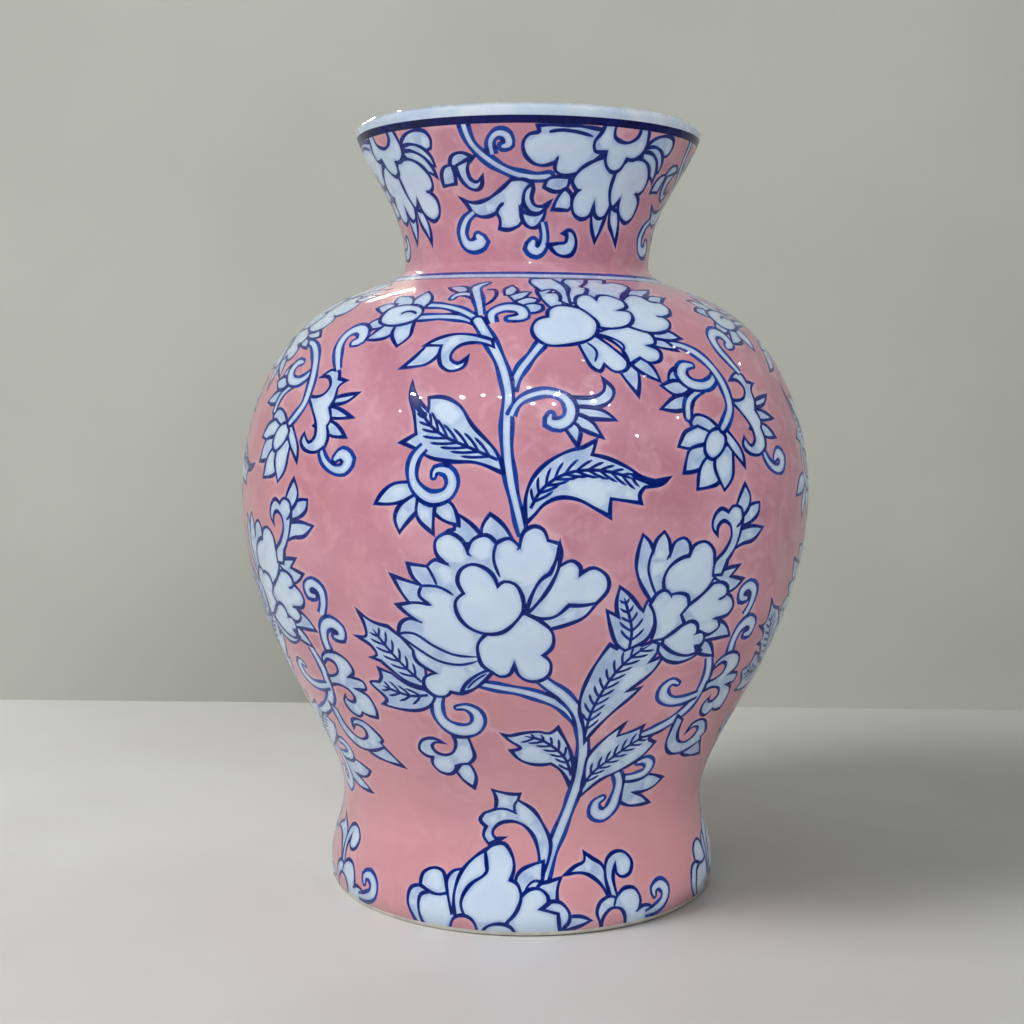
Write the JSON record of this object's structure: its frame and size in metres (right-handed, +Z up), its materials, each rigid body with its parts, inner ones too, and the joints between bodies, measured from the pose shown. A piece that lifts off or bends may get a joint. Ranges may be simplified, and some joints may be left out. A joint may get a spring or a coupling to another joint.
{
  "type": "porcelain vase",
  "caption": "Round-bellied baluster vase with a flared foot and a short trumpet neck, painted with a blue and white flower scroll on pink.",
  "frame": {"origin": "centre of the foot ring's standing face, where the vase rests", "axes": "+Z up along the axis that the vase was thrown on; -Y faces the viewer; +X to the viewer's right"},
  "size_m": [0.226, 0.226, 0.3],
  "materials": {
    "painted_glaze": "high gloss clear glaze over a mottled pink ground, with a cobalt blue and white flower scroll",
    "white_glaze": "high gloss clear glaze over bluish white porcelain"
  },
  "bodies": {
    "root": {"foot_ring": "painted_glaze", "base_plate": "white_glaze", "belly": "painted_glaze", "shoulder": "painted_glaze", "neck": "painted_glaze", "mouth_rim": "white_glaze"}
  },
  "joints": []
}
